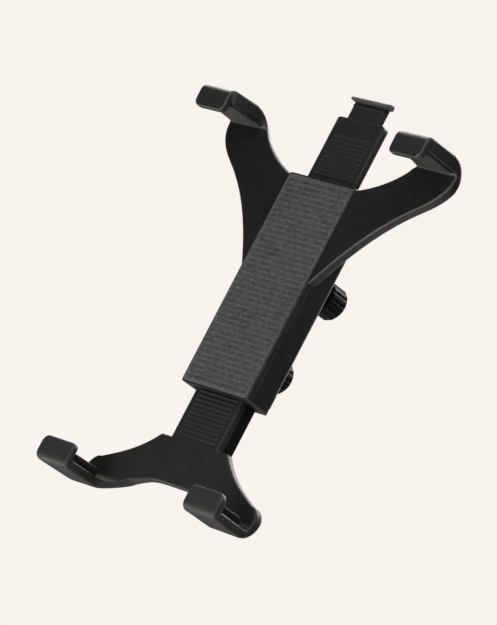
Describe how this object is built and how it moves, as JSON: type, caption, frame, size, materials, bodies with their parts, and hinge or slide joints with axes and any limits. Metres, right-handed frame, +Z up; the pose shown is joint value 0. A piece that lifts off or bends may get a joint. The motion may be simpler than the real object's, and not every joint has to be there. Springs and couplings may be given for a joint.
{
  "type": "tablet holder",
  "caption": "Adjustable tablet holder: V arms with claws, a ribbed slide with a clawed bracket, a locking knob and a stem clamp on the back.",
  "frame": {"origin": "middle of the bore that takes the mount's stem, on the bore's axis", "axes": "+X to the holder's right as its user faces it, +Y out of the back along the stem, +Z up along the slide"},
  "size_m": [0.14, 0.0621, 0.1964],
  "materials": {
    "case_plastic": "fine satin moulded plastic, black",
    "knob_plastic": "satin moulded plastic, black",
    "shoe_plastic": "plain moulded plastic, dark grey",
    "pad_rubber": "grained and ribbed soft rubber, dark grey",
    "liner_rubber": "smooth matte rubber, dark grey",
    "black_steel": "black coated sheet steel",
    "zinc_steel": "zinc plated steel",
    "brass": "turned brass"
  },
  "bodies": {
    "holder": {"front_frame": "case_plastic", "front_pad": "pad_rubber", "upper_left_liner": "liner_rubber", "upper_right_liner": "liner_rubber", "rear_housing": "case_plastic", "housing_screws": "zinc_steel", "lock_insert": "brass", "mount_socket": "knob_plastic", "socket_screw": "zinc_steel"},
    "slide": {"slider": "case_plastic", "slider_rail": "black_steel", "rail_screws": "zinc_steel", "lower_left_liner": "liner_rubber", "lower_right_liner": "liner_rubber"},
    "lock_carriage": {"lock_shoe": "shoe_plastic"},
    "lock_turner": {"lock_screw": "zinc_steel", "lock_clip": "black_steel", "lock_knob": "knob_plastic"},
    "clamp_carriage": {"clamp_ring": "shoe_plastic"},
    "nut_turner": {"collar_nut": "knob_plastic"}
  },
  "joints": [
    {"name": "slide_pull", "type": "slide", "parent": "holder", "child": "slide", "axis": [0, 0, -1], "range_m": [-0.0224, 0.0383]},
    {"name": "lock_travel", "type": "slide", "parent": "holder", "child": "lock_carriage", "axis": [0, 1, 0], "range_m": [0, 0.0012]},
    {"name": "lock_turn", "type": "hinge", "parent": "lock_carriage", "child": "lock_turner", "pos_m": [0, -0.0078, -0.0395], "axis": [0, 1, 0], "range_deg": [0, 545]},
    {"name": "clamp_travel", "type": "slide", "parent": "holder", "child": "clamp_carriage", "axis": [0, 1, 0], "range_m": [0, 0.001]},
    {"name": "nut_turn", "type": "hinge", "parent": "clamp_carriage", "child": "nut_turner", "pos_m": [0, 0.0024, 0], "axis": [0, 1, 0], "range_deg": [0, 183]}
  ],
  "couplings": [
    {"joint": "lock_turn", "follows": "lock_travel", "rad_per_m": 7854},
    {"joint": "nut_turn", "follows": "clamp_travel", "rad_per_m": 3141.6}
  ]
}
